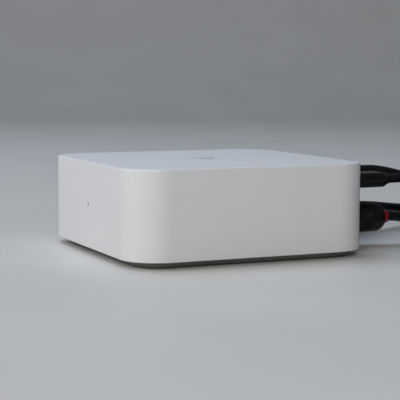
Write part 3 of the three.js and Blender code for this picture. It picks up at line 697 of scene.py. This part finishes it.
def square_ring(inset, height):
    """The player's outline, drawn in by inset, at a height."""
    half = HALF - inset
    return ring_at(rounded_outline(half, half, CORNER_RADIUS - inset, CORNER_STEPS), height)


def triangle_outline(radius, corner, steps=8):
    """A triangle with round corners that points along +X."""
    points = []
    for i in range(3):
        towards = i * 2 * math.pi / 3
        reach = radius - 2 * corner
        for step in range(steps + 1):
            angle = towards + math.pi / 3 * (2 * step / steps - 1)
            u = reach * math.cos(towards) + corner * math.cos(angle)
            v = reach * math.sin(towards) + corner * math.sin(angle)
            points.append((u, v))
    return points


def triangle_rings(radius, low, high, edge=0.0):
    """Rings of the play triangle, whose upper edge may be round."""
    rings = []
    for inset, height in [(0, low), *end_edge_sections(high, edge, 4)]:
        outline = triangle_outline(radius - 2 * inset, max(EMBLEM_CORNER - inset, 0.1))
        rings.append(ring_at(outline, height))
    return rings


def panel_window():
    """The space of the window for the sockets, which flares a little at the outside."""
    half_u, half_v = PANEL_HALF + GAP, PANEL_HALF_HEIGHT + GAP
    sections = [(0, HALF - WALL - 1), (0, HALF - 0.4)]
    sections += [(WINDOW_FLARE, HALF + 0.05), (WINDOW_FLARE, HALF + 1)]
    rings = []
    for grow, along in sections:
        outline = rounded_outline(half_u + grow, half_v + grow, WINDOW_CORNER + grow)
        rings.append(ring_at(outline, along))
    return lofted(backward(rings, PANEL_MIDDLE))


def make_housing():
    """A tub with a round top edge, a window for the sockets, the light's hole and the emblem's bed."""
    rings = [square_ring(WALL, CEILING), square_ring(WALL, SHELL_BOTTOM)]
    rings += [square_ring(*section) for section in start_edge_sections(SHELL_BOTTOM, BOTTOM_EDGE, 4)]
    rings += [square_ring(*section) for section in end_edge_sections(TOP, TOP_EDGE, 8)]
    housing = piece("housing_shell", *lofted(rings), WHITE, "white_plastic", ["housing"])
    mouth = LIGHT_RADIUS + LIGHT_FLARE
    hole_profile = [(mouth, -HALF - 0.1), (mouth, -HALF)]
    hole_profile += [(LIGHT_RADIUS, -HALF + LIGHT_FLARE), (LIGHT_RADIUS, -HALF + 5)]
    light_hole = turned(hole_profile, 32)
    bed = lofted(upright(triangle_rings(EMBLEM_RADIUS + 0.08, TOP - EMBLEM_DEPTH, TOP + 1)))
    cut_by(
        housing,
        tool(*panel_window(), WHITE),
        tool(moved(light_hole[0], (0, 0, LIGHT_HEIGHT)), light_hole[1], WHITE),
        tool(*bed, WHITE),
    )


def make_emblem():
    """The play triangle let into the top, just below its surface."""
    rings = triangle_rings(EMBLEM_RADIUS - 0.02, TOP - EMBLEM_DEPTH + 0.05, TOP - 0.04, 0.12)
    piece("play_emblem", *lofted(upright(rings)), EMBLEM, "emblem", ["top_emblem"])


def make_light_guide():
    """The smoked pin behind the small hole in the front."""
    pin = LIGHT_RADIUS - 0.06
    behind = -HALF + WALL
    profile = [(pin - 0.2, -HALF + 0.12), (pin, -HALF + 0.3), (pin, behind + GAP)]
    profile += [(LIGHT_COLLAR, behind + GAP), (LIGHT_COLLAR, behind + 2.4)]
    vertices, faces = turned(profile, 32)
    at_front = moved(vertices, (0, 0, LIGHT_HEIGHT))
    piece("status_light_guide", at_front, faces, LIGHT_GUIDE, "light_pipe", ["light_pipe"])


BASE_BOTTOM = cad_box_mm("base_plate")[0].z
BASE_TOP = 4.2
BASE_BEVEL = 2.2
BASE_SMOOTH_ANGLE = 24
FOOT_OUTER, FOOT_INNER, FOOT_TOP = 6.5, 12.5, 0.9
SCREW_AT = 38
SCREW_HEAD, SCREW_SHANK, SCREW_DRIVE = 2.2, 1.2, 0.8  # radii
SCREW_HEAD_HEIGHT, SCREW_SEAT = 0.8, 2.4
INTAKE_SLOTS = range(-16, 17, 4)
INTAKE_MIDDLE, INTAKE_HALF_LENGTH = -19, 11
ROUND = 9  # a corner radius that makes a bar round, as it is held to half the bar's width


def foot_ring(inset, height, grow=0.0):
    """The foot's outline, drawn in by inset from the player's and then grown, at a height."""
    half = HALF - inset + grow
    return ring_at(rounded_outline(half, half, max(CORNER_RADIUS - inset + grow, 1.2), 12), height)


def make_base():
    """The dark plate under the housing, with a wide bevel, a groove for the foot, wells and slots."""
    outline = WALL + GAP
    low = outline + BASE_BEVEL
    sections = [(low + 0.35, BASE_BOTTOM), (low + 0.1, BASE_BOTTOM + 0.08)]
    sections += [(low - 0.1, BASE_BOTTOM + 0.3), (outline + 0.12, SHELL_BOTTOM - 0.25)]
    sections += [(outline, SHELL_BOTTOM), (outline, BASE_TOP)]
    shape = lofted([square_ring(*section) for section in sections])
    base = piece("base_cover", *shape, BASE_GREY, "base_plastic", ["base_plate"], BASE_SMOOTH_ANGLE)
    groove_floor = FOOT_TOP + GAP
    groove = lofted([foot_ring(FOOT_OUTER, -1, GAP), foot_ring(FOOT_OUTER, groove_floor, GAP)])
    island = lofted([foot_ring(FOOT_INNER, -2, -GAP), foot_ring(FOOT_INNER, groove_floor + 1, -GAP)])
    tools = [cut_by(tool(*groove, BASE_GREY), tool(*island, BASE_GREY))]
    for x in INTAKE_SLOTS:
        slot = bar_rings(1, INTAKE_HALF_LENGTH, ROUND, -1, BASE_TOP + 1, steps=6)
        tools.append(tool(*lofted(upright(slot, (x, INTAKE_MIDDLE))), BASE_GREY))
    for side_x in (-1, 1):
        for side_y in (-1, 1):
            at = (side_x * SCREW_AT, side_y * SCREW_AT)
            well = upright(bar_rings(SCREW_HEAD + GAP, SCREW_HEAD + GAP, ROUND, -1, SCREW_SEAT), at)
            tools.append(tool(*lofted(well), BASE_GREY))
    cut_by(base, *tools, smooth_angle=BASE_SMOOTH_ANGLE)


def make_foot():
    """The rubber ring that the player stands on."""
    rounded = [(0.3, 0.0), (0.08, 0.1), (0.0, 0.3), (0.0, FOOT_TOP)]
    outer = [foot_ring(FOOT_OUTER + inset, height) for inset, height in rounded]
    inner = [foot_ring(FOOT_INNER - inset, height) for inset, height in reversed(rounded)]
    piece("foot_ring", *looped(outer + inner), RUBBER, "foot_rubber", ["rubber_foot"])


def make_screw_heads():
    """The heads of the base screws in their wells, each with a six-sided recess."""
    for corner in ("rear_right", "rear_left", "front_left", "front_right"):
        low, high = cad_box_mm("base_screw_" + corner)
        at = ((low.x + high.x) / 2, (low.y + high.y) / 2)
        under_head = low.z + SCREW_HEAD_HEIGHT
        head = bar_rings(SCREW_HEAD, SCREW_HEAD, ROUND, low.z, under_head, start_edge=0.2)
        shank = bar_rings(SCREW_SHANK, SCREW_SHANK, ROUND, under_head, high.z)
        rings = upright(head + shank, at)
        made = piece("screw_" + corner, *lofted(rings), STEEL, "steel", ["base_screw_" + corner])
        angles = [i * math.pi / 3 for i in range(6)]
        hexagon = [(SCREW_DRIVE * math.cos(a), SCREW_DRIVE * math.sin(a)) for a in angles]
        drive = upright([ring_at(hexagon, low.z - 0.5), ring_at(hexagon, low.z + 0.55)], at)
        cut_by(made, tool(*lofted(drive), STEEL))


# Openings in the panel: half width, half height, corner radius, place, chamfer.
OPENINGS = [
    (5.1, 2.1, 1.9, POWER_AT, 0.35),
    (8, 3.3, 0.8, HDMI_AT, 0.35),
    (5.8, 5.8, ROUND, AUDIO_AT, 0.2),
    (6.8, 4.8, 0.5, ETHERNET_AT, 0.35),
    (2.1, 2.1, ROUND, RESET_AT, 0.3),
]
OPENINGS += [(0.8, 5, 0.8, (x, UPPER_ROW), 0.25) for x in (-6.4, -3.2, 0, 3.2)]


def opening_tool(half_u, half_v, corner, at, chamfer):
    """The space of an opening in the panel, with a chamfer round its mouth."""
    mouth = PANEL_OUTSIDE
    sections = [(0, PANEL_INSIDE - 1), (0, mouth - chamfer), (chamfer, mouth), (chamfer, mouth + 1)]
    rings = []
    for grow, along in sections:
        outline = rounded_outline(half_u + grow, half_v + grow, corner + grow, 8)
        rings.append(ring_at(outline, along))
    return tool(*lofted(backward(rings, at)), BLACK)


def make_panel():
    """The black socket panel with chamfered openings and the fan's exhaust slots."""
    rings = bar_rings(PANEL_HALF, PANEL_HALF_HEIGHT, 1.2, PANEL_INSIDE, PANEL_OUTSIDE, end_edge=0.25)
    shape = lofted(backward(rings, PANEL_MIDDLE))
    panel = piece("socket_panel", *shape, BLACK, "black_plastic", ["rear_panel"])
    cut_by(panel, *[opening_tool(*opening) for opening in OPENINGS])


def make_reset_button():
    """A round cap with a hollowed end, and the collar that keeps it behind the panel."""
    low, high = cad_box_mm("reset_button")
    cap, collar = 1.7, 2.6
    rounded = [(cap - inset, along) for inset, along in end_edge_sections(high.y, 0.3, 5)[::-1]]
    profile = [(cap * 0.72, high.y - 0.12), (cap * 0.8, high.y), *rounded]
    profile += [(cap, PANEL_INSIDE - GAP), (collar, PANEL_INSIDE - GAP), (collar, low.y)]
    vertices, faces = turned(profile)
    in_place = moved(vertices, (RESET_AT[0], 0, RESET_AT[1]))
    button = "reset_button"
    piece("reset_cap", in_place, faces, BLACK, "black_plastic", [button], body=button)


make_housing()
make_emblem()
make_light_guide()
make_base()
make_foot()
make_screw_heads()
make_panel()
make_reset_button()

# ------------------------------------------------------------------ plugs
# Each plug is made pointing along -Y with its cord leaving it at the origin towards +Y, and is then
# placed: (at, turn) is the cord's end of the plug and its turn about the vertical axis.

PLACES = {
    "power_plug": ((20, 73.6, UPPER_ROW), 0),
    "supply_plug": ((59.55, 169, 4.0), 0),
    "audio_plug": ((20, 73.6, LOWER_ROW), 0),
    "audio_far_plug": ((61.7, 91.3, 6.1), 0),
    "hdmi_plug": ((-20, 84.1, UPPER_ROW), 0),
    "hdmi_far_plug": ((2.6, 224.9, 5.3), 90),
    "ethernet_plug": ((-20, 69, LOWER_ROW), 0),
    "ethernet_far_plug": ((3.8, 126.6, 4.7), 0),
}


def plug_piece(plug, part, shape, material, slot, replaces=None):
    """A piece of a plug, in place. It stands for the CAD node of the same part, or for replaces."""
    at, turn = PLACES[plug]
    vertices, faces = shape
    names = [f"{plug}_{part}"] if replaces is None else replaces
    piece(f"{plug}_{part}_skin", moved(vertices, at, turn), faces, material, slot, names)


RELIEF_RIBS = 4
RELIEF_RIB = ((0, 0), (0.12, 0), (0.55, 0), (0.64, 0.32), (0.9, 0.32))  # (share of the pitch, drop)
RELIEF_LIP = 0.35  # how far the narrow end stands out from the cord


def relief(length, radius, cord_radius):
    """A tapered strain relief with ribs, as (radius, y) pairs from its root at -length to 0."""
    profile = []
    pitch = length / RELIEF_RIBS
    tip = cord_radius + RELIEF_LIP
    for rib in range(RELIEF_RIBS):
        for share, drop in RELIEF_RIB:
            along = -length + (rib + share) * pitch
            full = radius + (tip - radius) * (along + length) / length
            profile.append((full - drop, along))
    profile += [(tip, -0.12), (cord_radius + 0.1, 0)]
    return profile


def make_power_plug():
    """A slim overmould with a chamfered back and a short neck."""
    half_width, half_height, corner = 6, 3, 2.6
    front, back = -24.1, -2.6
    sections = [(0.55, front), (0.16, front + 0.16), (0, front + 0.55), (0, back - 2.6)]
    sections += [(0.1, back - 2.1), (0.75, back - 0.95), (1.05, back - 0.45)]
    sections += [(1.5, back - 0.1), (2.1, back)]
    rings = []
    for inset, along in sections:
        outline = rounded_outline(half_width - inset, half_height - inset, max(corner - inset, 0.6))
        rings.append(ring_at(outline, along))
    plug_piece("power_plug", "body", lofted(backward(rings)), OVERMOULD, "cable_jacket")
    neck = turned([(2.55, back - 0.5), (2.5, back + 0.4), (2.3, back + 1.6), (2.1, -0.25), (1.95, 0)])
    plug_piece("power_plug", "neck", neck, OVERMOULD, "cable_jacket", ())


def grip_rings(side):
    """A low pad with oval corners on the upper side (1) or the lower side (-1) of the supply plug."""
    half_width, half_length, middle, foot, squeeze = 4.2, 9, -17.5, 3.72, 0.5
    rings = []
    for shrink, height in ((0, 0), (0, 0.12), (0.12, 0.18)):
        outline = rounded_outline(half_width - shrink, half_length - shrink, 3.2, 8)
        rings.append([(u, v * squeeze + middle, side * (foot + height)) for u, v in outline])
    return rings


def make_supply_plug():
    """A wide plug with a grip on both sides and a ribbed strain relief."""
    body = backward(bar_rings(7.7, 3.9, 1.8, -29, -6.5, 0.5, 1.1))
    plug_piece("supply_plug", "body", lofted(body), OVERMOULD, "cable_jacket")
    plug_piece("supply_plug", "relief", turned(relief(6.4, 3.3, 1.85)), OVERMOULD, "cable_jacket", ())
    for side, part in ((-1, "grip_bottom"), (1, "grip_top")):
        plug_piece("supply_plug", part, lofted(grip_rings(side)), BLACK, "black_plastic", ())


SLEEVE_RADIUS = 6
GRIP_GROOVES = 3
GRIP_GROOVE_PITCH = 1.5
GRIP_GROOVE = ((0, 0), (0.28, 0.12), (0.38, 0.35), (0.28, 0.58), (0, 0.7))  # (depth, along)


def audio_profile():
    """The sleeve of a phono plug: ground ring, rounded front, three grip grooves, chamfered back."""
    front = -24.08
    tip = -33.2
    profile = [(4.25, front + 3.88), (4.25, tip + 0.15), (4.35, tip), (4.6, tip)]
    profile += [(4.7, tip + 0.1), (4.7, front), (5.5, front)]
    profile += [(SLEEVE_RADIUS - inset, along) for inset, along in start_edge_sections(front, 0.45, 4)]
    for groove in range(GRIP_GROOVES):
        start = front + 9.58 + groove * GRIP_GROOVE_PITCH
        profile += [(SLEEVE_RADIUS - depth, start + along) for depth, along in GRIP_GROOVE]
    profile += [(SLEEVE_RADIUS, -6.6), (5.92, -6.1), (5.6, -5.2), (5.05, -4.3)]
    profile += [(4.75, -3.9), (4.3, -3.62), (3.2, -3.6)]
    return profile


def make_audio_plug(name):
    """A phono plug with a coloured ring and a short collar."""
    plug_piece(name, "sleeve", turned(audio_profile(), 64), BLACK, "black_plastic")
    ring = turned([(2.2, -3.4), (2.62, -3.3), (2.72, -3.1), (2.72, -1.2), (2.6, -0.95), (2.2, -0.9)])
    plug_piece(name, "colour_ring", ring, RED, "red_plastic")
    collar = turned([(2.35, -1.0), (2.3, -0.3), (2.1, 0)])
    plug_piece(name, "collar", collar, OVERMOULD, "cable_jacket", ())


def make_hdmi_plug(name):
    """A broad video plug with a ribbed strain relief."""
    body = backward(bar_rings(10, 5.2, 2.2, -35, -6.4, 0.6, 1.4))
    plug_piece(name, "body", lofted(body), OVERMOULD, "cable_jacket")
    plug_piece(name, "relief", turned(relief(7.2, 4.1, 2.5)), OVERMOULD, "cable_jacket", ())


def make_ethernet_plug(name):
    """The boot of a network plug with a ribbed strain relief."""
    boot = backward(bar_rings(6.2, 4.6, 1.6, -19.7, -7.5, 0.4, 0.9))
    plug_piece(name, "boot", lofted(boot), OVERMOULD, "cable_jacket")
    plug_piece(name, "relief", turned(relief(8, 3.3, 2.1)), OVERMOULD, "cable_jacket", ())


make_power_plug()
make_supply_plug()
for plug_name in ("audio_plug", "audio_far_plug"):
    make_audio_plug(plug_name)
for plug_name in ("hdmi_plug", "hdmi_far_plug"):
    make_hdmi_plug(plug_name)
for plug_name in ("ethernet_plug", "ethernet_far_plug"):
    make_ethernet_plug(plug_name)

# ------------------------------------------------------------------ ties

TIE_BEARINGS = {"power": 70, "audio": 60, "hdmi": 200, "ethernet": 60}
TIE_HALF_WIDTH = 2.3
TIE_LOW = 0.02
TIE_SIDE_SLACK, TIE_TOP_SLACK = 0.35, 0.45  # from the turns to the outside of the strap
TIE_SIDE_THICKNESS, TIE_THICKNESS = 0.4, 0.3
TIE_CORNER = 1.6


def make_tie(name, lead, bearing):
    """A thin strap round all the turns of a coil, at a bearing in degrees."""
    diameter = lead["diameter"]
    half = diameter + TIE_SIDE_SLACK
    high = LEAD_CLEARANCE + lead["layers"] * diameter + TIE_TOP_SLACK
    half_height = (high - TIE_LOW) / 2
    angle = math.radians(bearing)
    outward = Vector((math.cos(angle), math.sin(angle), 0))
    sideways = Vector((-math.sin(angle), math.cos(angle), 0))
    middle = Vector((*lead["centre"], TIE_LOW + half_height)) + outward * lead["coil_radius"]
    outer = rounded_outline(half, half_height, TIE_CORNER, 8)
    inner_corner = TIE_CORNER - TIE_THICKNESS
    inner = rounded_outline(half - TIE_SIDE_THICKNESS, half_height - TIE_THICKNESS, inner_corner, 8)
    rings = []
    for outline, side in ((outer, -1), (outer, 1), (inner, 1), (inner, -1)):
        across = middle + sideways * (side * TIE_HALF_WIDTH)
        rings.append([across + outward * u + Vector((0, 0, v)) for u, v in outline])
    return piece(name + "_tie", *looped(rings), TIE, "cable_jacket")


for lead_name, lead in LEADS.items():
    tie = make_tie(lead_name, lead, TIE_BEARINGS[lead_name])
    make_lead(lead_name, lead)

# ------------------------------------------------------------------ studio
# Lengths here are in metres, and the lights' powers in watts.

LIGHT_TARGET = Vector((0, 0, 0.02))
LIGHT_DISTANCE = 1.5
SWEEP_STEPS = 16


def make_floor():
    """A pale floor that sweeps up into a backdrop behind the object, as the camera sees it."""
    azimuth = math.radians(CAMERA_AZIMUTH)
    away = Vector((-math.sin(azimuth), math.cos(azimuth), 0))
    sideways = Vector((math.cos(azimuth), math.sin(azimuth), 0))
    near, sweep_at, sweep_radius, top, half_width = -3, 1.3, 0.7, 2.4, 3
    profile = [(near, 0), (sweep_at, 0)]
    for step in range(1, SWEEP_STEPS + 1):
        angle = math.pi / 2 * step / SWEEP_STEPS
        along = sweep_at + sweep_radius * math.sin(angle)
        profile.append((along, sweep_radius * (1 - math.cos(angle))))
    profile.append((sweep_at + sweep_radius, top))
    vertices, faces = [], []
    for along, height in profile:
        for side in (-half_width, half_width):
            vertices.append(away * along + sideways * side + Vector((0, 0, height)))
    for i in range(len(profile) - 1):
        faces.append((2 * i, 2 * i + 1, 2 * i + 3, 2 * i + 2))
    mesh = bpy.data.meshes.new("floor")
    mesh.from_pydata(vertices, [], faces)
    mesh.polygons.foreach_set("use_smooth", [True] * len(mesh.polygons))
    material, tree, bsdf = shader("floor", 0.5)
    cloud = evened(tree, noise(tree, place_of(tree), feature_mm=90), 0, 1)
    colour = between(tree, cloud, (0.67, 0.645, 0.61), (0.71, 0.685, 0.65))
    tree.links.new(colour, bsdf.inputs["Base Color"])
    mesh.materials.append(material)
    floor = bpy.data.objects.new("floor", mesh)
    bpy.context.scene.collection.objects.link(floor)


def make_light(name, azimuth, elevation, size, power, colour):
    """A square soft light aimed at the object, its azimuth from the front (-Y) towards +X."""
    bearing, height = math.radians(azimuth), math.radians(elevation)
    level = math.cos(height)
    towards = Vector((math.sin(bearing) * level, -math.cos(bearing) * level, math.sin(height)))
    data = bpy.data.lights.new(name, "AREA")
    data.size = size
    data.energy = power
    data.color = colour
    light = bpy.data.objects.new(name, data)
    light.location = LIGHT_TARGET + towards * LIGHT_DISTANCE
    light.rotation_mode = "QUATERNION"
    light.rotation_quaternion = towards.to_track_quat("Z", "Y")
    bpy.context.scene.collection.objects.link(light)


def make_world(colour, strength):
    """A faint even light from all round."""
    world = bpy.data.worlds.new("studio")
    world.use_nodes = True
    background = world.node_tree.nodes["Background"]
    background.inputs["Color"].default_value = (*colour, 1)
    background.inputs["Strength"].default_value = strength
    bpy.context.scene.world = world


make_floor()
make_light("front_light", -8, 26, size=0.8, power=6.8, colour=(1.0, 0.965, 0.92))
make_light("side_light", 62, 26, size=0.8, power=8.5, colour=(1.0, 0.97, 0.92))
make_light("top_light", -60, 72, size=1.0, power=10.8, colour=(0.66, 0.80, 1.0))
make_world((0.80, 0.88, 1.0), strength=0.09)
bpy.context.scene.view_settings.view_transform = "Standard"
